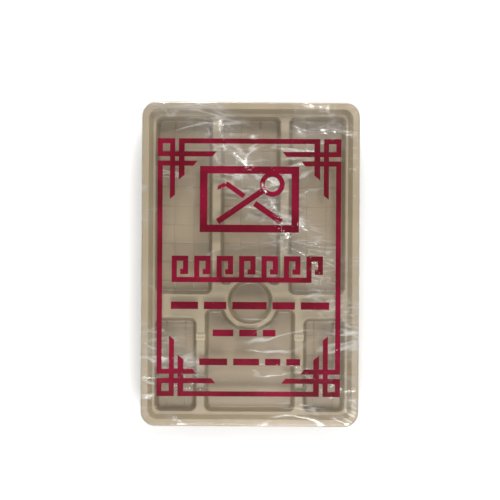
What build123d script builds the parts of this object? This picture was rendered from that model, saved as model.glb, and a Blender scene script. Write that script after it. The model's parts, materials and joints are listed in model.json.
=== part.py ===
from build123d import *
import math
import os

# Film-wrapped pack of nested disposable dental instrument trays.
#
# Ten identical thermoformed compartment trays lie nested one in the next, open side up. A clear
# over-wrap holds them: a front web with a skirt, and a back web, which meet in a welded band round
# the sides. Millimetres, +Z up. The pack lies on its back web at z = 0 and the origin is the middle
# of that base. +Y runs along the trays, towards the closed ends of the three long compartments.

# ---- driving dimensions --------------------------------------------------------------------------
TRAY_COUNT = 10
NEST_PITCH = 3.2             # rise from one nested tray to the next

TRAY_WIDTH = 184.0           # over the rim, along X
TRAY_LENGTH = 274.0          # over the rim, along Y
TRAY_HEIGHT = 18.0           # underside of the floors to the top of the rim
RIDGE_HEIGHT = 11.0          # underside of the floors to the top of the dividing ridges
SHEET = 0.45                 # formed wall of the plastic sheet
DRAFT = 14.0                 # slope of the compartments' walls from the vertical, in degrees
BASIN_DRAFT = 26.0           # slope of the wall from the rim down to ridge height

RIM_WIDTH = 5.6              # flat rim, from the outer edge to the mouth of the basin
RIM_CORNER = 12.0            # plan radius of the rim's outer corners
MOUTH_CORNER = 8.4           # plan radius of the corners of the basin's mouth
LIP_DROP = 1.8               # height of the down-turned outer lip
LEDGE = 2.1                  # narrow ledge round the basin at ridge height

RIDGE_WIDTH = 7.2            # width of a straight ridge at its top plane
UPPER_RIDGE_X = 29.0         # centre lines of the two ridges between the long compartments
LOWER_RIDGE_X = 42.0         # centre lines of the two ridges between the short compartments
LONG_END = -26.0             # near end of the two outer long compartments
MIDDLE_END = -17.5           # near end of the middle long compartment, beside the cup well
SMALL_START = -46.0          # far end of the two small compartments
FRONT_START = -38.0          # far end of the wide short compartment
CUP_Y = -32.0                # centre of the round cup well
CUP_RADIUS = 19.2            # mouth radius of the cup well
CUP_RING = 4.0               # width of the ring ridge round the well at its top plane

POCKET_CORNER = 6.0          # plan radius of the compartments' corners
SCOOP_CORNER = 3.5           # plan radius of the corners beside the cup ring
RING_CORNER = 3.0            # plan radius where a compartment's end runs into the cup ring
FLOOR_ROUND = 2.0            # radii on the open side: wall to floor,
LEDGE_ROUND = 0.9            # basin wall to ledge,
RIDGE_ROUND = 1.5            # top edges of the ridges,
RIM_ROUND = 1.1              # and both edges of the rim

REST_Y = -62.0               # shallow saddles across the two lower ridges, for an instrument's shank
REST_RADIUS = 5.0
REST_DEPTH = 1.4

FILM = 0.15                  # thickness of each film web
FILM_SIDE_GAP = 0.2          # air between the rims and the inner web
FILM_TOP_GAP = 0.15          # air between the top rim and the front web
REST_GAP = 0.05              # air between two faces that lie on each other
FILM_ROUND = 1.6             # outer radius of the front web's top edge
BASE_INSET = 11.0            # the back web's flat base is this much smaller than its skirt, each side
BASE_CORNER = 8.0
BASE_RISE = 15.5             # height at which the back web's sloping side reaches the lowest rim
SEAM_LOW = 26.0              # the welded band, where both webs lie on each other
SEAM_HIGH = 30.0

# ---- derived places ------------------------------------------------------------------------------
MOUTH_WIDTH = TRAY_WIDTH - 2 * RIM_WIDTH
MOUTH_LENGTH = TRAY_LENGTH - 2 * RIM_WIDTH
BASIN_RUN = (TRAY_HEIGHT - RIDGE_HEIGHT) * math.tan(math.radians(BASIN_DRAFT))
POCKET_X = MOUTH_WIDTH / 2 - BASIN_RUN - LEDGE
POCKET_Y = MOUTH_LENGTH / 2 - BASIN_RUN - LEDGE
HALF_RIDGE = RIDGE_WIDTH / 2
RING_RADIUS = CUP_RADIUS + CUP_RING
STACK_TOP = FILM + REST_GAP + TRAY_HEIGHT + (TRAY_COUNT - 1) * NEST_PITCH
MOULD_FOOT = 5.0             # the moulds reach this far under the tray, and are cut away again
TRIM_BAND = 1.5              # the outer wall is trimmed below the lip, within this band of the edge
CUT_MARGIN = 2.0             # a cutting body reaches this far past what it cuts
PICK_MARGIN = 1.0            # edges this close to an outline are picked with it
TOLERANCE = 1e-4


def compartment(x_low, x_high, y_low, y_high, near_corner=POCKET_CORNER):
    """Plan outline of a rectangular compartment at ridge height."""
    face = Pos((x_low + x_high) / 2, (y_low + y_high) / 2) * Rectangle(x_high - x_low, y_high - y_low)
    face = fillet([v for v in face.vertices() if v.Y < y_low + TOLERANCE], near_corner)
    return fillet([v for v in face.vertices() if v.Y > y_high - TOLERANCE], POCKET_CORNER)


def beside_the_ring(face):
    """A compartment whose end is cut back by the cup ring, with the two new corners rounded."""
    face = face - Pos(0, CUP_Y) * Circle(RING_RADIUS)
    corners = [v for v in face.vertices() if abs(math.hypot(v.X, v.Y - CUP_Y) - RING_RADIUS) < TOLERANCE]
    return fillet(corners, RING_CORNER)


LONG_OUTER = UPPER_RIDGE_X + HALF_RIDGE
LONG_INNER = UPPER_RIDGE_X - HALF_RIDGE
SMALL_INNER = LOWER_RIDGE_X + HALF_RIDGE
FRONT_SIDE = LOWER_RIDGE_X - HALF_RIDGE
COMPARTMENTS = [
    compartment(-POCKET_X, -LONG_OUTER, LONG_END, POCKET_Y),
    compartment(LONG_OUTER, POCKET_X, LONG_END, POCKET_Y),
    beside_the_ring(compartment(-LONG_INNER, LONG_INNER, MIDDLE_END, POCKET_Y, SCOOP_CORNER)),
    compartment(-POCKET_X, -SMALL_INNER, -POCKET_Y, SMALL_START),
    compartment(SMALL_INNER, POCKET_X, -POCKET_Y, SMALL_START),
    beside_the_ring(compartment(-FRONT_SIDE, FRONT_SIDE, -POCKET_Y, FRONT_START)),
    Pos(0, CUP_Y) * Circle(CUP_RADIUS),
]


def hollow(outline, mouth_z, floor_z, grow, foot_round, draft=DRAFT):
    """The air in a drafted hollow whose outline at mouth_z is grown by the sheet's offset."""
    face = Pos(0, 0, mouth_z) * (offset(outline, grow) if grow else outline)
    air = extrude(face, amount=floor_z - mouth_z, taper=draft)
    if foot_round:
        air = fillet(air.edges().group_by(Axis.Z)[0], foot_round)
    return air


def level_edges(body, height, reach_x, reach_y):
    """Flat edges of a body at one height, split into those inside a centred rectangle and the others."""
    inside, outside = [], []
    for edge in body.edges():
        box = edge.bounding_box()
        if abs(box.min.Z - height) > TOLERANCE or abs(box.max.Z - height) > TOLERANCE:
            continue
        far_x = max(abs(box.min.X), abs(box.max.X))
        far_y = max(abs(box.min.Y), abs(box.max.Y))
        (inside if far_x < reach_x and far_y < reach_y else outside).append(edge)
    return inside, outside


def mould(below):
    """Everything under the tray's surface, with that surface lowered into the sheet by below."""
    top, ridge, floor = TRAY_HEIGHT - below, RIDGE_HEIGHT - below, SHEET - below
    outline = RectangleRounded(TRAY_WIDTH - 2 * below, TRAY_LENGTH - 2 * below, RIM_CORNER - below)
    body = extrude(Pos(0, 0, -MOULD_FOOT) * outline, amount=top + MOULD_FOOT)
    body = fillet(body.edges().group_by(Axis.Z)[-1], RIM_ROUND - below)
    basin_mouth = RectangleRounded(MOUTH_WIDTH, MOUTH_LENGTH, MOUTH_CORNER)
    body -= hollow(basin_mouth, TRAY_HEIGHT, ridge, below, 0, BASIN_DRAFT)
    for outline in COMPARTMENTS:
        body -= hollow(outline, RIDGE_HEIGHT, floor, below, FLOOR_ROUND + below)
    mouth = level_edges(body, top, MOUTH_WIDTH / 2 + PICK_MARGIN, MOUTH_LENGTH / 2 + PICK_MARGIN)[0]
    body = fillet(mouth, RIM_ROUND - below)
    foot = level_edges(body, ridge, POCKET_X + PICK_MARGIN, POCKET_Y + PICK_MARGIN)[1]
    body = fillet(foot, LEDGE_ROUND + below)
    reach = PICK_MARGIN / 2 + below
    ridge_tops = level_edges(body, ridge, POCKET_X + reach, POCKET_Y + reach)[0]
    body = fillet(ridge_tops, RIDGE_ROUND - below)
    for side in (-1, 1):
        saddle = Cylinder(REST_RADIUS + below, RIDGE_WIDTH + 2 * CUT_MARGIN, rotation=(0, 90, 0))
        body -= Pos(side * LOWER_RIDGE_X, REST_Y, RIDGE_HEIGHT - REST_DEPTH + REST_RADIUS) * saddle
    return body


def tray():
    """One formed tray: the sheet between the mould under its open side and the one under its back."""
    sheet = mould(0.0) - mould(SHEET)
    keep = RectangleRounded(TRAY_WIDTH - 2 * TRIM_BAND, TRAY_LENGTH - 2 * TRIM_BAND, RIM_CORNER - TRIM_BAND)
    blank = Rectangle(TRAY_WIDTH + 2 * CUT_MARGIN, TRAY_LENGTH + 2 * CUT_MARGIN)
    trimmed = extrude(blank - keep, amount=MOULD_FOOT + TRAY_HEIGHT - LIP_DROP)
    return sheet - Pos(0, 0, -MOULD_FOOT) * trimmed


def outline_round_rims(gap):
    """The rims' outline, grown by a gap, in the plane z = 0."""
    return RectangleRounded(TRAY_WIDTH + 2 * gap, TRAY_LENGTH + 2 * gap, RIM_CORNER + gap)


def front_web():
    """Top panel and skirt, outside the back web's skirt. Its lower edge is the low edge of the weld."""
    inner_gap = FILM_SIDE_GAP + FILM + REST_GAP
    height = STACK_TOP + FILM_TOP_GAP + FILM - SEAM_LOW
    outside = extrude(Pos(0, 0, SEAM_LOW) * outline_round_rims(inner_gap + FILM), amount=height)
    outside = fillet(outside.edges().group_by(Axis.Z)[-1], FILM_ROUND)
    inside = extrude(Pos(0, 0, SEAM_LOW) * outline_round_rims(inner_gap), amount=height - FILM)
    inside = fillet(inside.edges().group_by(Axis.Z)[-1], FILM_ROUND - FILM)
    return outside - inside


def back_web():
    """Flat base, sides that slope out to the lowest rim, and a skirt up to the top of the weld."""
    def envelope(shrink, floor):
        base = RectangleRounded(
            TRAY_WIDTH + 2 * (FILM_SIDE_GAP + FILM - BASE_INSET - shrink),
            TRAY_LENGTH + 2 * (FILM_SIDE_GAP + FILM - BASE_INSET - shrink),
            BASE_CORNER - shrink,
        )
        wide = outline_round_rims(FILM_SIDE_GAP + FILM - shrink)
        slope = loft([Pos(0, 0, floor) * base, Pos(0, 0, BASE_RISE) * wide], ruled=True)
        return slope + extrude(Pos(0, 0, BASE_RISE) * wide, amount=SEAM_HIGH - BASE_RISE)
    return envelope(0.0, 0.0) - envelope(FILM, FILM)


def main():
    os.makedirs("parts", exist_ok=True)
    one_tray = tray()
    print(f"tray: {one_tray.volume:.0f} mm3, {len(one_tray.faces())} faces, valid {one_tray.is_valid}")
    for number in range(1, TRAY_COUNT + 1):
        rise = FILM + REST_GAP + (number - 1) * NEST_PITCH
        export_step(Pos(0, 0, rise) * one_tray, f"parts/tray_{number:02d}.step")
    for name, web in {"front_web": front_web(), "back_web": back_web()}.items():
        print(f"{name}: {web.volume:.0f} mm3, valid {web.is_valid}")
        export_step(web, f"parts/{name}.step")


main()
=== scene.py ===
"""Wrapped stack of disposable dental trays: plastic, floor ribs, film, print, light and camera.

Metres, +Z up. The pack lies on z = 0 with its length along Y and the long compartments towards +Y.
Every place comes from the frame's boxes and the few sizes below.
"""
import json
import math

import bmesh
import bpy
from mathutils import Matrix, Vector, noise


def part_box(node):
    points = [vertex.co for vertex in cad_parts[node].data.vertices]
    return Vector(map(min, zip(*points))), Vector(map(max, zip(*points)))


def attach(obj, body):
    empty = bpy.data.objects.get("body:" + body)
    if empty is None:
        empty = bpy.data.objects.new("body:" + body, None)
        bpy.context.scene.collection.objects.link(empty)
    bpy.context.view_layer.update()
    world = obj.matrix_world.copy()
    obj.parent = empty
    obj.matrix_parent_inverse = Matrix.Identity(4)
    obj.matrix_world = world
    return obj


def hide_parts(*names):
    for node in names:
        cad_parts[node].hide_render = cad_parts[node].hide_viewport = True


MM = 0.001

# ---- tray layout, as the formed sheet has it ------------------------------------------------------
UPPER_RIDGE_X = 29.0 * MM
LOWER_RIDGE_X = 42.0 * MM
HALF_RIDGE = 3.6 * MM
POCKET_X = 80.9 * MM
POCKET_Y = 125.9 * MM
LONG_END = -26.0 * MM
MIDDLE_END = -17.5 * MM
SMALL_START = -46.0 * MM
RIB_INSET = 3.3 * MM          # the ribs stop this far inside a compartment's mouth
RIB_PITCH = 16.0 * MM
RIB_WIDTH = 1.5 * MM
RIB_RISE = 0.32 * MM
RIB_EDGE = 0.3 * MM           # bevel along a rib's top
RING_CLEARANCE = 13.0 * MM    # the middle compartment's ribs start this far from its end, past the cup ring
RIB_CROSS_START = -14.0 * MM
RIDGE_RISE = 11.0 * MM         # height of the dividing ridges over a tray's underside
SHEET = 0.45 * MM

# ---- film -----------------------------------------------------------------------------------------
FILM_CELL = 1.7 * MM          # mesh size of the film panels
FRONT_CORNER = 12.4 * MM
BASE_CORNER = 8.0 * MM
BASE_INSET = 11.0 * MM
EDGE_ROUND = 1.3 * MM         # radius of the film as it turns over the rim
MOUTH_INSET = 7.0 * MM        # from the film's outer edge to where it leaves the rim
SAG = 0.9 * MM                # how far the film dips over the open compartments
FREE_REACH = 22.0 * MM        # it hangs free from this far inside the mouth
FOLD_RISE = 0.20 * MM         # broad folds that run one way,
CROSS_FOLD_RISE = 0.16 * MM   # and those that cross them
CRUMPLE_RISE = 0.12 * MM
CRUMPLE_REACH = 13.0 * MM     # fine crumpling reaches this far from a long fold
PUCKER_RISE = 0.17 * MM       # short puckers that run in from the edges
PUCKER_REACH = 26.0 * MM
BASE_FOLD_RISE = 0.25 * MM
TURN_STEPS = 4                # rings in the turn over the rim,
SLOPE_STEPS = 9               # and in the back film's sloping side
BASE_RISE = 15.5 * MM         # height at which the back film's sloping side reaches the lowest rim
WELD_LINE_PITCH = 0.8 * MM    # fine lines that the sealing bar leaves in the weld
PRINT_LIFT = 0.05 * MM
CREASE_SIZE = 48.0            # the film's fine creases, which the ink on it shares
CREASE_ANGLE = 0.62
CREASE_DEPTH = 1.2 * MM
# long folds of the front film: start, end (millimetres from its middle), height and half width in mm
FILM_FOLDS = [
    ((-30, 128), (-24, 88), 0.40, 2.6),
    ((-24, 98), (6, 74), 0.45, 2.2),
    ((9, 66), (31, 20), 0.55, 2.4),
    ((31, 20), (58, -6), 0.50, 2.8),
    ((40, 34), (66, 2), 0.35, 2.0),
    ((58, -6), (92, -64), 0.45, 2.6),
    ((40, 108), (70, 112), 0.30, 1.8),
    ((-74, 134.8), (-43, 134.2), 0.55, 1.3),
    ((-84, -70), (-48, -92), 0.30, 2.4),
    ((60, -96), (84, -106), 0.24, 2.4),
]

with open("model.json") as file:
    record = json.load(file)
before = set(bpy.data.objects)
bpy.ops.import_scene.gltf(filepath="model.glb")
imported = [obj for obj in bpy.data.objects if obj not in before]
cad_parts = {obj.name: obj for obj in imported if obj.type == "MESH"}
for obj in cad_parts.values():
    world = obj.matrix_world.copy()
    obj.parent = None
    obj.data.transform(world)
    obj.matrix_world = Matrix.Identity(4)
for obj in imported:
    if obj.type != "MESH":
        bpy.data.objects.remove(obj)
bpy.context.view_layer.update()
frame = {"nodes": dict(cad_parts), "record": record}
TRAYS = sorted(name for name in frame["nodes"] if name.startswith("tray_"))
FRONT_LOW, FRONT_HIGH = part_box("front_web")
BACK_LOW, BACK_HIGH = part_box("back_web")
BODIES = frame["record"]["behaviour"]["bodies"]
BODY_OF_NODE = {node: body for body, nodes in BODIES.items() for node in nodes}
HALF_X = FRONT_HIGH[0]
HALF_Y = FRONT_HIGH[1]
PANEL_Z = FRONT_HIGH[2] - 0.08 * MM
WELD_LOW = FRONT_LOW[2]
WELD_HIGH = BACK_HIGH[2]


# ---- node helpers -----------------------------------------------------------------------------------
MIX_FIRST_COLOUR, MIX_SECOND_COLOUR = 6, 7   # the Mix node's colour sockets, which share their names
MIX_COLOUR = 2


class Graph:
    """A node tree with short calls for its nodes and links."""

    def __init__(self, tree):
        self.tree = tree

    def node(self, kind, settings=None, **inputs):
        made = self.tree.nodes.new(kind)
        for name, value in (settings or {}).items():
            setattr(made, name, value)
        for name, value in inputs.items():
            self.feed(made.inputs[name.replace("_", " ")], value)
        return made

    def feed(self, socket, value):
        if isinstance(value, bpy.types.NodeSocket):
            self.tree.links.new(value, socket)
        else:
            socket.default_value = value

    def math(self, operation, first, second=0.0):
        made = self.node("ShaderNodeMath", {"operation": operation})
        self.feed(made.inputs[0], first)
        self.feed(made.inputs[1], second)
        return made.outputs[0]

    def ramp(self, value, low, high, to_low=0.0, to_high=1.0):
        made = self.node("ShaderNodeMapRange", {"interpolation_type": "SMOOTHSTEP"})
        self.feed(made.inputs["Value"], value)
        self.feed(made.inputs["From Min"], low)
        self.feed(made.inputs["From Max"], high)
        self.feed(made.inputs["To Min"], to_low)
        self.feed(made.inputs["To Max"], to_high)
        return made.outputs["Result"]

    def mix(self, factor, first, second):
        made = self.node("ShaderNodeMix", {"data_type": "RGBA"})
        self.feed(made.inputs["Factor"], factor)
        self.feed(made.inputs[MIX_FIRST_COLOUR], first)
        self.feed(made.inputs[MIX_SECOND_COLOUR], second)
        return made.outputs[MIX_COLOUR]

    def noise(self, vector, scale, detail=3.0, rough=0.5, distortion=0.0):
        made = self.node("ShaderNodeTexNoise", Vector=vector, Scale=scale, Detail=detail)
        self.feed(made.inputs["Roughness"], rough)
        self.feed(made.inputs["Distortion"], distortion)
        return made.outputs["Fac"]


def group(name, inputs, outputs):
    """An empty shader node group with float, colour or vector sockets, and its input and output nodes."""
    tree = bpy.data.node_groups.new(name, "ShaderNodeTree")
    for label, kind, value in inputs:
        socket = tree.interface.new_socket(label, in_out="INPUT", socket_type=kind)
        if value is not None:
            socket.default_value = value
    for label, kind in outputs:
        tree.interface.new_socket(label, in_out="OUTPUT", socket_type=kind)
    graph = Graph(tree)
    return graph, graph.node("NodeGroupInput"), graph.node("NodeGroupOutput")


def crinkle_group():
    """Fine creases of thin film: a height, and a mask that is high along the creases."""
    graph, taken, given = group(
        "film_crinkle",
        [("Vector", "NodeSocketVector", None),
         ("Size", "NodeSocketFloat", 60.0), ("Angle", "NodeSocketFloat", 0.6)],
        [("Height", "NodeSocketFloat"), ("Creases", "NodeSocketFloat")],
    )
    turn = graph.node("ShaderNodeCombineXYZ", Z=taken.outputs["Angle"])
    along = graph.node("ShaderNodeMapping", Scale=(0.28, 1.0, 1.0))
    graph.feed(along.inputs["Vector"], taken.outputs["Vector"])
    graph.feed(along.inputs["Rotation"], turn.outputs["Vector"])
    broad = graph.noise(along.outputs["Vector"], taken.outputs["Size"], 3.0, 0.5, 0.6)
    fine_size = graph.math("MULTIPLY", taken.outputs["Size"], 3.1)
    fine = graph.noise(taken.outputs["Vector"], fine_size, 2.0, 0.5, 1.2)
    fold = graph.math("ABSOLUTE", graph.math("SUBTRACT", broad, 0.5))
    small = graph.math("ABSOLUTE", graph.math("SUBTRACT", fine, 0.5))
    height = graph.math("ADD", fold, graph.math("MULTIPLY", small, 0.28))
    graph.feed(given.inputs["Height"], height)
    graph.feed(given.inputs["Creases"], graph.ramp(fold, 0.0, 0.035, 1.0, 0.0))
    return graph.tree


def sheet_tone_group():
    """Uneven tone of formed sheet: broad clouds from stretching, and fine specks."""
    graph, taken, given = group(
        "sheet_tone",
        [("Vector", "NodeSocketVector", None), ("Specks", "NodeSocketFloat", 0.5)],
        [("Cloud", "NodeSocketFloat"), ("Speck", "NodeSocketFloat"), ("Grain", "NodeSocketFloat")],
    )
    graph.feed(given.inputs["Cloud"], graph.noise(taken.outputs["Vector"], 22.0, 4.0, 0.55, 0.4))
    dots = graph.noise(taken.outputs["Vector"], 900.0, 2.0, 0.6)
    specks = graph.math("MULTIPLY", graph.ramp(dots, 0.66, 0.76), taken.outputs["Specks"])
    graph.feed(given.inputs["Speck"], specks)
    graph.feed(given.inputs["Grain"], graph.noise(taken.outputs["Vector"], 420.0, 3.0, 0.6))
    return graph.tree


def weld_group():
    """The welded band round the sides: a mask that is 1 on it, broken by the sealing bar's fine lines."""
    graph, taken, given = group(
        "weld_band",
        [("Vector", "NodeSocketVector", None),
         ("Low", "NodeSocketFloat", 0.0), ("High", "NodeSocketFloat", 1.0)],
        [("Band", "NodeSocketFloat")],
    )
    height = graph.node("ShaderNodeSeparateXYZ", Vector=taken.outputs["Vector"]).outputs["Z"]
    above = graph.math("GREATER_THAN", height, taken.outputs["Low"])
    under = graph.math("LESS_THAN", height, taken.outputs["High"])
    lines = graph.math("SINE", graph.math("MULTIPLY", height, 2 * math.pi / WELD_LINE_PITCH))
    shade = graph.ramp(lines, -1.0, 1.0, 0.55, 1.0)
    graph.feed(given.inputs["Band"], graph.math("MULTIPLY", graph.math("MULTIPLY", above, under), shade))
    return graph.tree


def floor_shade_group():
    """Painted shade in the compartments, by height over one tray's floor: 1 on the floors, 0 from the ridges
    up.
    """
    graph, taken, given = group(
        "painted_floor_shade",
        [("Vector", "NodeSocketVector", None),
         ("Floor", "NodeSocketFloat", 0.0), ("Depth", "NodeSocketFloat", 0.01)],
        [("FloorShade", "NodeSocketFloat")],
    )
    height = graph.node("ShaderNodeSeparateXYZ", Vector=taken.outputs["Vector"]).outputs["Z"]
    above = graph.math("SUBTRACT", height, taken.outputs["Floor"])
    above = graph.math("DIVIDE", above, taken.outputs["Depth"])
    uneven = graph.noise(taken.outputs["Vector"], 45.0, 2.0, 0.5)
    above = graph.math("ADD", above, graph.math("MULTIPLY", graph.math("SUBTRACT", uneven, 0.5), 0.3))
    graph.feed(given.inputs["FloorShade"], graph.ramp(above, 0.10, 0.95, 1.0, 0.0))
    return graph.tree


CRINKLE = crinkle_group()
WELD_BAND = weld_group()
SHEET_TONE = sheet_tone_group()
FLOOR_SHADE = floor_shade_group()


def new_material(name):
    """An empty material with a Principled shader, and the piece's own coordinates to place its pattern."""
    material = bpy.data.materials.new(name)
    material.use_nodes = True
    material.node_tree.nodes.clear()
    graph = Graph(material.node_tree)
    shader = graph.node("ShaderNodeBsdfPrincipled")
    surface = graph.node("ShaderNodeOutputMaterial")
    graph.feed(surface.inputs["Surface"], shader.outputs["BSDF"])
    place = graph.node("ShaderNodeTexCoord").outputs["Object"]
    return material, graph, shader, place


def use_group(graph, tree, **inputs):
    """The outputs of a node group placed in a material with its own values."""
    return graph.node("ShaderNodeGroup", {"node_tree": tree}, **inputs).outputs


def tray_plastic(name, floor_z):
    """Ivory polystyrene sheet, satin, a little waxy where light passes through, with painted shade that
    darkens the compartment floors.
    """
    material, graph, shader, place = new_material(name)
    fold_lift_and_floor_shade = use_group(graph, FLOOR_SHADE, Vector=place, Floor=floor_z, Depth=RIDGE_RISE)["FloorShade"]
    tone = use_group(graph, SHEET_TONE, Vector=place, Specks=0.5)
    cloud = graph.ramp(tone["Cloud"], 0.3, 0.7)
    body = graph.mix(cloud, (0.258, 0.207, 0.134, 1.0), (0.292, 0.240, 0.162, 1.0))
    # painted shade: the floors of the compartments are mixed towards this darker colour, most where they lie
    # deepest
    body = graph.mix(graph.math("MULTIPLY", fold_lift_and_floor_shade, 0.62), body, (0.220, 0.168, 0.108, 1.0))
    colour = graph.mix(tone["Speck"], body, (0.16, 0.12, 0.08, 1.0))
    graph.feed(shader.inputs["Base Color"], colour)
    graph.feed(shader.inputs["Roughness"], graph.ramp(tone["Grain"], 0.3, 0.7, 0.30, 0.42))
    bump = graph.node("ShaderNodeBump", Strength=0.12, Distance=0.0002)
    graph.feed(bump.inputs["Height"], tone["Grain"])
    graph.feed(shader.inputs["Normal"], bump.outputs["Normal"])
    shader.inputs["Subsurface Weight"].default_value = 0.12
    shader.inputs["Subsurface Radius"].default_value = (0.0016, 0.0012, 0.0008)
    shader.inputs["Subsurface Scale"].default_value = 1.0
    shader.inputs["IOR"].default_value = 1.46
    return material


def film_material(name, haze, painted_glare):
    """Clear film: nearly all see-through, whiter where it is seen edge on, and whiter on its creases and
    crumpled folds, which is painted glare.
    """
    material, graph, shader, place = new_material(name)
    creases = use_group(graph, CRINKLE, Vector=place, Size=CREASE_SIZE, Angle=CREASE_ANGLE)
    patches = graph.ramp(graph.noise(place, 17.0, 2.0, 0.5, 0.5), 0.44, 0.68)
    facing = graph.node("ShaderNodeLayerWeight", Blend=0.35).outputs["Facing"]
    edge = graph.math("MULTIPLY", graph.math("POWER", facing, 2.0), 0.58)
    # painted glare: along the creases the film is made more opaque and white
    painted_glare_streaks = graph.math("MULTIPLY", graph.math("MULTIPLY", creases["Creases"], patches), painted_glare)
    clouds = graph.math("MULTIPLY", patches, haze)
    weld = use_group(graph, WELD_BAND, Vector=place, Low=WELD_LOW, High=WELD_HIGH)
    alpha = graph.math("ADD", graph.math("ADD", edge, painted_glare_streaks), graph.math("ADD", clouds, haze))
    alpha = graph.math("ADD", alpha, graph.math("MULTIPLY", weld["Band"], 0.16))
    small = use_group(graph, CRINKLE, Vector=place, Size=125.0, Angle=2.1)
    crumpled = graph.node("ShaderNodeAttribute", {"attribute_name": "crumpled"}).outputs["Fac"]
    # painted glare: more opaque and white on the fine creases where the film is crumpled near its long folds
    painted_crumple_glare = graph.math("MULTIPLY", crumpled, graph.ramp(small["Creases"], 0.0, 1.0, 0.085, 0.36))
    alpha = graph.math("ADD", alpha, painted_crumple_glare)
    graph.feed(shader.inputs["Alpha"], graph.math("MINIMUM", alpha, 0.85))
    milky = graph.mix(patches, (0.87, 0.86, 0.83, 1.0), (0.93, 0.92, 0.89, 1.0))
    graph.feed(shader.inputs["Base Color"], milky)
    graph.feed(shader.inputs["Roughness"], graph.ramp(patches, 0.0, 1.0, 0.10, 0.22))
    bump = graph.node("ShaderNodeBump", Strength=0.5, Distance=CREASE_DEPTH)
    graph.feed(bump.inputs["Height"], creases["Height"])
    graph.feed(shader.inputs["Normal"], bump.outputs["Normal"])
    shader.inputs["Metallic"].default_value = 0.72
    return material


def printed_ink():
    """Dark crimson flexographic ink with thin spots, on the film."""
    material, graph, shader, place = new_material("printed_ink")
    thin = graph.noise(place, 260.0, 4.0, 0.6)
    wash = graph.noise(place, 24.0, 3.0, 0.5)
    colour = graph.mix(graph.ramp(wash, 0.35, 0.7), (0.090, 0.001, 0.008, 1.0), (0.165, 0.002, 0.019, 1.0))
    graph.feed(shader.inputs["Base Color"], colour)
    graph.feed(shader.inputs["Alpha"], graph.ramp(thin, 0.25, 0.45, 0.92, 1.0))
    graph.feed(shader.inputs["Roughness"], graph.ramp(thin, 0.3, 0.7, 0.34, 0.50))
    shader.inputs["Specular IOR Level"].default_value = 0.08
    creases = use_group(graph, CRINKLE, Vector=place, Size=CREASE_SIZE, Angle=CREASE_ANGLE)
    bump = graph.node("ShaderNodeBump", Strength=0.35, Distance=CREASE_DEPTH)
    graph.feed(bump.inputs["Height"], creases["Height"])
    graph.feed(shader.inputs["Normal"], bump.outputs["Normal"])
    return material


def floor_paper():
    """Matt pale paper for the surface under the pack."""
    material, graph, shader, place = new_material("floor_paper")
    cloud = graph.noise(place, 3.0, 2.0, 0.5)
    colour = graph.mix(cloud, (0.86, 0.86, 0.86, 1.0), (0.89, 0.89, 0.89, 1.0))
    graph.feed(shader.inputs["Base Color"], colour)
    shader.inputs["Roughness"].default_value = 0.9
    return material


TRAY_PLASTIC = {
    tray: tray_plastic(tray.replace("tray_", "tray_plastic_"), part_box(tray)[0][2]) for tray in TRAYS
}
# the second number is the film's haze, the third the strength of the painted glare on its creases
FRONT_FILM = film_material("front_film", 0.022, 0.34)
BACK_FILM = film_material("back_film", 0.03, 0.35)
INK = printed_ink()


# ---- mesh helpers -------------------------------------------------------------------------------------
def finish_piece(mesh_work, name, material, body):
    """A smooth-shaded piece from a bmesh, riding on a CAD body."""
    mesh = bpy.data.meshes.new(name)
    mesh_work.to_mesh(mesh)
    mesh_work.free()
    mesh.polygons.foreach_set("use_smooth", [True] * len(mesh.polygons))
    mesh.materials.append(material)
    piece = bpy.data.objects.new(name, mesh)
    bpy.context.scene.collection.objects.link(piece)
    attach(piece, body)
    return piece


def fold_noise(x, y, angle, along, across, seed):
    """Ridged noise, 0 to 1, drawn out along a direction: 1 on the crest of a fold."""
    u = x * math.cos(angle) + y * math.sin(angle)
    v = y * math.cos(angle) - x * math.sin(angle)
    wander = 0.35 * noise.noise(Vector((u / along * 1.7, v / across * 0.4, seed + 9.0)))
    value = noise.noise(Vector((u / along, v / across + wander, seed)))
    return max(0.0, 1.0 - abs(value) * 3.2)


def smooth_step(value, low, high):
    """0 at low and 1 at high, easing at both; high may be the smaller of the two."""
    part = min(1.0, max(0.0, (value - low) / (high - low)))
    return part * part * (3.0 - 2.0 * part)


def fold_relief(x, y):
    """Height of the long folds at a point, and how near the nearest one is, 0 to 1."""
    height, nearness = 0.0, 0.0
    for start, end, rise, half_width in FILM_FOLDS:
        start, along = Vector(start) * MM, (Vector(end) - Vector(start)) * MM
        part = (Vector((x, y)) - start).dot(along) / along.length_squared
        foot = start + along * min(1.0, max(0.0, part))
        away = math.hypot(x - foot.x, y - foot.y)
        bend = 1.0 + 0.5 * noise.noise(Vector((x * 70, y * 70, rise * 31)))
        height += rise * MM * bend * math.exp(-((away / (half_width * MM)) ** 2))
        nearness = max(nearness, math.exp(-((away / CRUMPLE_REACH) ** 2)))
    return height, nearness


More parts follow.
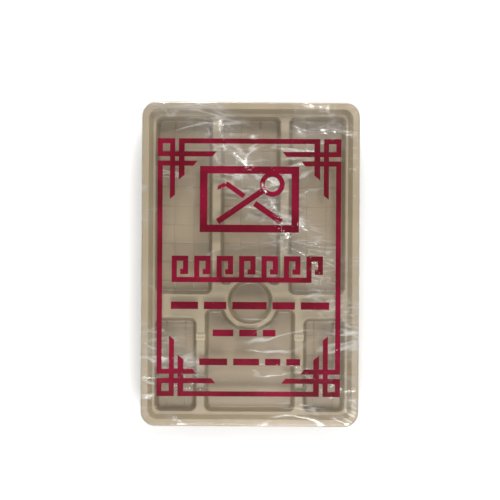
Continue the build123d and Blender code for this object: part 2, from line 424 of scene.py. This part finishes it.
def film_height(x, y):
    """Height of the front film's panel: flat on the rim, dipping and creased over the compartments."""
    to_edge = min(HALF_X - abs(x), HALF_Y - abs(y))
    free = smooth_step(to_edge, MOUTH_INSET, MOUTH_INSET + FREE_REACH)
    dip = SAG * free * (0.75 + 0.5 * noise.noise(Vector((x * 16, y * 11, 3.1))))
    long_folds = fold_noise(x, y, -0.62, 70 * MM, 11 * MM, 1.3) ** 2
    cross_folds = fold_noise(x, y, 0.95, 55 * MM, 9 * MM, 5.2) ** 2
    patch = smooth_step(noise.noise(Vector((x * 15, y * 12, 8.4))), -0.15, 0.35)
    folds = FOLD_RISE * long_folds + CROSS_FOLD_RISE * cross_folds * patch
    fold_lift_and_floor_shade, nearness = fold_relief(x, y)
    crumple = CRUMPLE_RISE * nearness * fold_noise(x, y, 1.1, 9 * MM, 4.5 * MM, 11.7)
    pucker = 0.0
    for to_side, angle, seed in ((HALF_X - abs(x), 0.0, 2.7), (HALF_Y - abs(y), math.pi / 2, 6.7)):
        near_side = smooth_step(to_side, PUCKER_REACH, 3 * MM)
        pucker += fold_noise(x, y, angle, 34 * MM, 5.5 * MM, seed) * near_side
    return PANEL_Z - dip + (folds + fold_lift_and_floor_shade + crumple) * (0.3 + 0.7 * free) + PUCKER_RISE * pucker


def front_crumple(x, y):
    """How crumpled the front film is: 1 on its long folds, fading away from them."""
    return fold_relief(x, y)[1]


def base_height(x, y):
    """Height of the back film's panel, which lies on the surface under the pack."""
    return BACK_LOW[2] + 0.04 * MM + BASE_FOLD_RISE * fold_noise(x, y, 0.5, 60 * MM, 12 * MM, 4.4) ** 2


def base_crumple(x, y):
    """The back film is pulled flat everywhere."""
    return 0.0


def rounded_grid(half_x, half_y, corner, cell):
    """A flat grid whose corner squares are drawn in to quarter discs, as a bmesh."""
    work = bmesh.new()
    columns, rows = round(2 * half_x / cell), round(2 * half_y / cell)
    bmesh.ops.create_grid(work, x_segments=columns, y_segments=rows, size=1.0)
    bmesh.ops.scale(work, vec=(half_x, half_y, 1.0), verts=work.verts)
    for vert in work.verts:
        over_x, over_y = abs(vert.co.x) - (half_x - corner), abs(vert.co.y) - (half_y - corner)
        if over_x > 0 and over_y > 0:
            pull = max(over_x, over_y) / math.hypot(over_x, over_y)
            vert.co.x = math.copysign(half_x - corner + over_x * pull, vert.co.x)
            vert.co.y = math.copysign(half_y - corner + over_y * pull, vert.co.y)
    return work


def film_shell(node, name, material, panel, height, crumple, rings):
    """A film web in a CAD node's place: a creased panel, and sides drawn out through a list of rings.

    panel is (half_x, half_y, corner); a ring is (half_x, half_y, corner, z, pucker).
    """
    half_x, half_y, corner = panel
    work = rounded_grid(half_x, half_y, corner, FILM_CELL)
    keep = [work.verts.layers.float.new(label) for label in ("core_x", "core_y", "out_x", "out_y")]
    crumpled = work.verts.layers.float.new("crumpled")
    for vert in work.verts:
        core_x = min(max(vert.co.x, corner - half_x), half_x - corner)
        core_y = min(max(vert.co.y, corner - half_y), half_y - corner)
        out = Vector((vert.co.x - core_x, vert.co.y - core_y))
        length = out.length or 1.0
        values = (core_x / (half_x - corner), core_y / (half_y - corner), out.x / length, out.y / length)
        for layer, value in zip(keep, values):
            vert[layer] = value
        vert.co.z = height(vert.co.x, vert.co.y)
        vert[crumpled] = crumple(vert.co.x, vert.co.y)
    edge = [e for e in work.edges if e.is_boundary]
    for number, (ring_x, ring_y, ring_corner, z, pucker) in enumerate(rings):
        grown = bmesh.ops.extrude_edge_only(work, edges=edge)["geom"]
        for vert in [g for g in grown if isinstance(g, bmesh.types.BMVert)]:
            core_x, core_y, out_x, out_y = (vert[layer] for layer in keep)
            x = core_x * (ring_x - ring_corner) + out_x * ring_corner
            y = core_y * (ring_y - ring_corner) + out_y * ring_corner
            around = math.atan2(out_y, out_x) * 3.0
            at_corner = abs(out_x * out_y) * 2.0
            ripple = noise.noise(Vector((x * 95, y * 95, z * 28 + around)))
            pleat = noise.noise(Vector((x * 330, y * 330, z * 20)))
            push = pucker * ((0.5 + 0.7 * ripple) + at_corner * (0.6 + 0.8 * pleat))
            drop = pucker * 0.35 * noise.noise(Vector((x * 60, y * 60, 4.0 + number)))
            vert.co = Vector((x + out_x * push, y + out_y * push, z + drop))
        edge = [g for g in grown if isinstance(g, bmesh.types.BMEdge)]
        edge = [e for e in edge if e.is_boundary]
    bmesh.ops.recalc_face_normals(work, faces=work.faces)
    piece = finish_piece(work, name, material, BODY_OF_NODE[node])
    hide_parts(node)


# ---- film webs ------------------------------------------------------------------------------------------
def skirt_rings(half_x, half_y, corner, z_from, z_to, steps, pucker):
    """Rings from one height to another, which swell most half way."""
    rings = []
    for step in range(1, steps + 1):
        part = step / steps
        swell = pucker * math.sin(math.pi * min(1.0, part * 1.05))
        rings.append((half_x, half_y, corner, z_from + (z_to - z_from) * part, max(swell, 0.05 * MM)))
    return rings


def front_film():
    """Front web: panel, a rounded turn over the rim, the skirt, and the weld's flared lip."""
    panel = (HALF_X - EDGE_ROUND, HALF_Y - EDGE_ROUND, FRONT_CORNER - EDGE_ROUND)
    turn = []
    for step in range(1, TURN_STEPS + 1):
        angle = step / TURN_STEPS * math.pi / 2
        grow = EDGE_ROUND * math.sin(angle)
        drop = EDGE_ROUND * (1 - math.cos(angle))
        turn.append((panel[0] + grow, panel[1] + grow, panel[2] + grow, PANEL_Z - drop, 0.04 * MM))
    skirt = skirt_rings(HALF_X, HALF_Y, FRONT_CORNER, PANEL_Z - EDGE_ROUND, WELD_HIGH, 9, 0.55 * MM)
    proud = 0.05 * MM
    weld = skirt_rings(HALF_X + proud, HALF_Y + proud, FRONT_CORNER,
                       WELD_HIGH, WELD_LOW + 1 * MM, 2, 0.12 * MM)
    lip = [(HALF_X + grow * MM, HALF_Y + grow * MM, FRONT_CORNER + grow * MM, WELD_LOW + up * MM, 0.35 * MM)
           for grow, up in ((0.7, 0.6), (1.5, 0.35))]
    rings = turn + skirt + weld + lip
    film_shell("front_web", "front_film", FRONT_FILM, panel,
               film_height, front_crumple, rings)


def back_film():
    """Back web: base panel, sides that slope out to the lowest rim, and the skirt up to the weld."""
    wide_x, wide_y, wide_corner = BACK_HIGH[0], BACK_HIGH[1], FRONT_CORNER - 0.2 * MM
    base = (wide_x - BASE_INSET, wide_y - BASE_INSET, BASE_CORNER)
    slope = []
    for step in range(1, SLOPE_STEPS + 1):
        part = step / SLOPE_STEPS
        grow = BASE_INSET * part
        slope.append((base[0] + grow, base[1] + grow, base[2] + (wide_corner - base[2]) * part,
                      BASE_RISE * part, 0.5 * MM * math.sin(math.pi * part) + 0.03 * MM))
    skirt = skirt_rings(wide_x - 0.1 * MM, wide_y - 0.1 * MM, wide_corner, BASE_RISE, WELD_LOW, 5, 0.4 * MM)
    weld = [(wide_x - 0.25 * MM, wide_y - 0.25 * MM, wide_corner, WELD_HIGH - 1 * MM, 0.02 * MM)]
    rings = slope + skirt + weld
    film_shell("back_web", "back_film", BACK_FILM, base,
               base_height, base_crumple, rings)


# ---- trays: material, and the fine ribs formed in their floors ------------------------------------------
def floor_ribs(tray):
    """Raised grid on the floors of one tray's compartments, as low rounded bars."""
    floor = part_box(tray)[0][2] + SHEET
    outer, inner = UPPER_RIDGE_X + HALF_RIDGE, UPPER_RIDGE_X - HALF_RIDGE
    small = LOWER_RIDGE_X + HALF_RIDGE
    grids = [
        (-POCKET_X, -outer, LONG_END, POCKET_Y), (outer, POCKET_X, LONG_END, POCKET_Y),
        (-inner, inner, MIDDLE_END + RING_CLEARANCE, POCKET_Y),
        (-POCKET_X, -small, -POCKET_Y, SMALL_START), (small, POCKET_X, -POCKET_Y, SMALL_START),
    ]
    work = bmesh.new()
    for x_low, x_high, y_low, y_high in grids:
        x_mid = (x_low + x_high) / 2
        width, length = x_high - x_low - 2 * RIB_INSET, y_high - y_low - 2 * RIB_INSET
        bars = [(x_mid + side * RIB_PITCH / 2, (y_low + y_high) / 2, RIB_WIDTH, length) for side in (-1, 1)]
        first = math.ceil((y_low + RIB_INSET - RIB_CROSS_START) / RIB_PITCH)
        last = math.floor((y_high - RIB_INSET - RIB_CROSS_START) / RIB_PITCH)
        for step in range(first, last + 1):
            bars.append((x_mid, RIB_CROSS_START + step * RIB_PITCH, width, RIB_WIDTH))
        for x, y, size_x, size_y in bars:
            place = Matrix.Translation((x, y, floor)) @ Matrix.Diagonal((size_x, size_y, 2 * RIB_RISE, 1.0))
            made = bmesh.ops.create_cube(work, size=1.0, matrix=place)["verts"]
            edges = {e for v in made for e in v.link_edges}
            tops = [e for e in edges if all(v.co.z > floor for v in e.verts)]
            bmesh.ops.bevel(work, geom=tops, offset=RIB_EDGE, offset_type="OFFSET", segments=2, profile=0.5,
                            affect="EDGES", material=-1)
    finish_piece(work, f"{tray}_floor_ribs", TRAY_PLASTIC[tray], BODY_OF_NODE[tray])


# ---- print --------------------------------------------------------------------------------------------
def ink_bar(work, start, end, width, end_cut=0.0):
    """A flat printed bar from start to end in millimetres; a cut slants its end across its width."""
    start, end = Vector(start) * MM, Vector(end) * MM
    along = (end - start).normalized()
    across = Vector((-along.y, along.x))
    length = (end - start).length
    columns = max(1, round(length / (INK_CELL * MM)))
    rows = max(1, round(width / INK_CELL))
    made = bmesh.ops.create_grid(work, x_segments=columns, y_segments=rows, size=0.5)["verts"]
    for vert in made:
        part, side = vert.co.x + 0.5, vert.co.y
        shift = end_cut * part * side * width * MM
        flat = start + along * (length * part + shift) + across * side * width * MM
        vert.co = Vector((flat.x, flat.y, 0.0))


def ink_piece(work, name):
    """Lay flat printed shapes on the front film, facing up, as one piece."""
    bmesh.ops.recalc_face_normals(work, faces=work.faces)
    for vert in work.verts:
        vert.co.z = film_height(vert.co.x, vert.co.y) + PRINT_LIFT
    if sum(face.normal.z for face in work.faces) < 0:
        bmesh.ops.reverse_faces(work, faces=work.faces)
    finish_piece(work, name, INK, BODY_OF_NODE["front_web"])


# the print's own sizes are in millimetres from the panel's middle
INK_CELL = 2.0                          # mesh size of a printed bar
BORDER = (-78.8, 76.5, -111.9, 106.3)   # outer edges of the printed frame: left, right, near, far
LINE = 4.3                              # width of the frame's line and of the fretwork
SLANT = 0.8                             # how far a slanted end runs on, in widths of its bar
LINK = 14.7                             # outer size of a corner's square link
CROSSING = (17.8, 22.7)                 # where the inner upright bar crosses, from the corner
SIDE_START = 18.9                       # where the frame's side lines start, from the corner


def fret_corner(work, corner_x, corner_y, in_x, in_y):
    """Fretwork in one corner of the frame: a square link, and stepped bars that run from it."""
    def at(x, y):
        return (corner_x + in_x * x, corner_y + in_y * y)
    half, slant = LINE / 2, SLANT * in_x * in_y
    crossing_start, crossing_end = CROSSING
    uprights = [(half, LINE, 11.0, LINE, 0.0), (12.55, LINE, 49.6, LINE, slant),
                (20.25, 0, 33.0, crossing_end - crossing_start, slant)]
    for x, start, end, width, cut in uprights:
        ink_bar(work, at(x, start), at(x, end), width, cut)
    ink_bar(work, at(0, half), at(LINK, half), LINE)
    for y, start, end in ((13.15, 0, 48.0), (21.05, LINE, 32.0)):
        ink_bar(work, at(start, y), at(LINK - LINE, y), LINE)
        ink_bar(work, at(LINK, y), at(crossing_start, y), LINE)
        ink_bar(work, at(crossing_end, y), at(end, y), LINE, -slant)


def printed_frame():
    """Fretwork in the four corners, and the border lines between them."""
    left, right, near, far = BORDER
    work = bmesh.new()
    for x, in_x in ((left, 1), (right, -1)):
        for y, in_y in ((near, 1), (far, -1)):
            fret_corner(work, x, y, in_x, in_y)
    half = LINE / 2
    for y in (near + half, far - half):
        ink_bar(work, (left + CROSSING[1], y), (right - CROSSING[1], y), LINE)
    for x in (left + half, right - half):
        ink_bar(work, (x, near + SIDE_START), (x, far - SIDE_START), LINE)
    ink_piece(work, "printed_frame")


def ink_ring(work, centre, radius, width):
    """A printed ring, in millimetres."""
    made = bmesh.ops.create_circle(work, segments=72, radius=(radius - width / 2) * MM)["verts"]
    bmesh.ops.translate(work, vec=Vector((*centre, 0)) * MM, verts=made)
    edges = list({e for v in made for e in v.link_edges})
    grown = bmesh.ops.extrude_edge_only(work, edges=edges)["geom"]
    outer = [g for g in grown if isinstance(g, bmesh.types.BMVert)]
    middle = Vector((*centre, 0)) * MM
    for vert in outer:
        away = (vert.co - middle).normalized()
        vert.co = middle + away * (radius + width / 2) * MM


def printed_emblem():
    """A plain pictogram: an open frame with a mouth mirror and a probe crossed inside it."""
    work = bmesh.new()
    x, y, half_x, half_y, line = -1.0, 55.0, 42.0, 28.0, 6.4
    for side in (-1, 1):
        bar_x, bar_y = x + side * (half_x - line / 2), y + side * (half_y - line / 2)
        ink_bar(work, (x - half_x, bar_y), (x + half_x, bar_y), line)
        ink_bar(work, (bar_x, y - half_y + line), (bar_x, y + half_y - line), line)
    ink_bar(work, (x - 27, y - 19), (x + 11.6, y + 7.6), 5.0)
    ink_ring(work, (x + 19.2, y + 12.8), 8.4, 4.2)
    ink_bar(work, (x + 27, y - 19), (x + 4.4, y - 3.5), 5.0)
    ink_bar(work, (x - 4.4, y + 2.6), (x - 20, y + 13.3), 4.2)
    ink_bar(work, (x - 20.6, y + 12.4), (x - 27, y + 9.6), 3.2, 0.6)
    ink_piece(work, "printed_emblem")


def printed_key_pattern():
    """A broad running key pattern under the pictogram."""
    work = bmesh.new()
    low, unit, height, line = -15.4, 19.0, 22.4, 4.4
    half, reach, hook, tip = line / 2, 14.0, 6.8, 7.2
    keys, first = 7, -66.5
    for number in range(keys):
        x = first + number * unit
        ink_bar(work, (x + half, low), (x + half, low + height), line)
        ink_bar(work, (x + line, low + height - half), (x + reach, low + height - half), line)
        ink_bar(work, (x + reach - half, low + height - line), (x + reach - half, low + hook), line)
        ink_bar(work, (x + reach - line, low + hook + half), (x + tip, low + hook + half), line)
        if number < keys - 1:
            ink_bar(work, (x + line, low + half), (x + unit, low + half), line)
    ink_piece(work, "printed_key_pattern")


def printed_lines():
    """Plain bars in three narrow rows: each row's y, its bars' height, and their starts and ends in x."""
    work = bmesh.new()
    rows = [
        (-35.0, 6.2, [(-67, -44), (-39, -20), (-15, 14), (19, 38), (43, 67)]),
        (-58.2, 5.6, [(-31.5, -14), (-9, 6), (11, 21.7)]),
        (-82.7, 5.6, [(-42.7, -19), (-14, 8), (13, 26), (31, 42.7)]),
    ]
    for y, height, words in rows:
        for start, end in words:
            ink_bar(work, (start, y), (end, y), height)
    ink_piece(work, "printed_lines")


def dress_trays():
    """The tray material on the CAD trays, whose shape is kept."""
    for tray in TRAYS:
        node = frame["nodes"][tray]
        node.data.materials.clear()
        node.data.materials.append(TRAY_PLASTIC[tray])


dress_trays()
for tray_name in TRAYS:
    floor_ribs(tray_name)
front_film()
back_film()
printed_frame()
printed_emblem()
printed_key_pattern()
printed_lines()


# ---- floor, light and camera ----------------------------------------------------------------------------
CAMERA_DISTANCE = 0.90                  # over the film
PICTURE_WIDTH = 0.4228                  # what the picture spans at that distance
CAMERA_PLACE = (-0.0003, 0.0121)
CAMERA_TURN = math.radians(0.35)


def studio_floor():
    """A wide pale surface under the pack."""
    work = bmesh.new()
    bmesh.ops.create_grid(work, x_segments=1, y_segments=1, size=4.0)
    mesh = bpy.data.meshes.new("studio_floor")
    work.to_mesh(mesh)
    work.free()
    mesh.materials.append(floor_paper())
    floor = bpy.data.objects.new("studio_floor", mesh)
    bpy.context.scene.collection.objects.link(floor)


def softbox(name, place, size, power, tint=(1.0, 1.0, 1.0)):
    """A rectangular area light aimed at the middle of the pack's base."""
    light = bpy.data.lights.new(name, "AREA")
    light.shape = "RECTANGLE"
    light.size, light.size_y = size
    light.energy = power
    light.color = tint
    lamp = bpy.data.objects.new(name, light)
    lamp.location = place
    lamp.rotation_mode = "QUATERNION"
    lamp.rotation_quaternion = (Vector((0, 0, 0)) - Vector(place)).to_track_quat("-Z", "Y")
    bpy.context.scene.collection.objects.link(lamp)


def studio_world():
    """Even white surroundings, dimmer as light than as background."""
    world = bpy.data.worlds.new("studio_world")
    world.use_nodes = True
    graph = Graph(world.node_tree)
    background = world.node_tree.nodes["Background"]
    background.inputs["Color"].default_value = (1.0, 1.0, 1.0, 1.0)
    seen = graph.node("ShaderNodeLightPath").outputs["Is Camera Ray"]
    graph.feed(background.inputs["Strength"], graph.ramp(seen, 0.0, 1.0, 0.62, 1.0))
    bpy.context.scene.world = world


def studio_camera():
    """Straight above, with the pack a little below the middle of the picture."""
    camera = bpy.data.cameras.new("camera")
    camera.sensor_width = 36.0
    camera.lens = camera.sensor_width * CAMERA_DISTANCE / PICTURE_WIDTH
    holder = bpy.data.objects.new("camera", camera)
    holder.location = (*CAMERA_PLACE, FRONT_HIGH[2] + CAMERA_DISTANCE)
    holder.rotation_euler = (0.0, 0.0, CAMERA_TURN)
    bpy.context.scene.collection.objects.link(holder)
    bpy.context.scene.camera = holder


studio_floor()
studio_world()
softbox("far_softbox", (0.05, 1.00, 0.78), (0.8, 0.4), 13.0, (1.0, 0.985, 0.955))
softbox("front_softbox", (0.02, -0.34, 0.52), (0.30, 0.24), 2.2, (1.0, 0.99, 0.97))
softbox("overhead_strip", (0.28, 0.38, 1.30), (0.22, 0.22), 1.7)
studio_camera()
bpy.context.scene.view_settings.view_transform = "Standard"
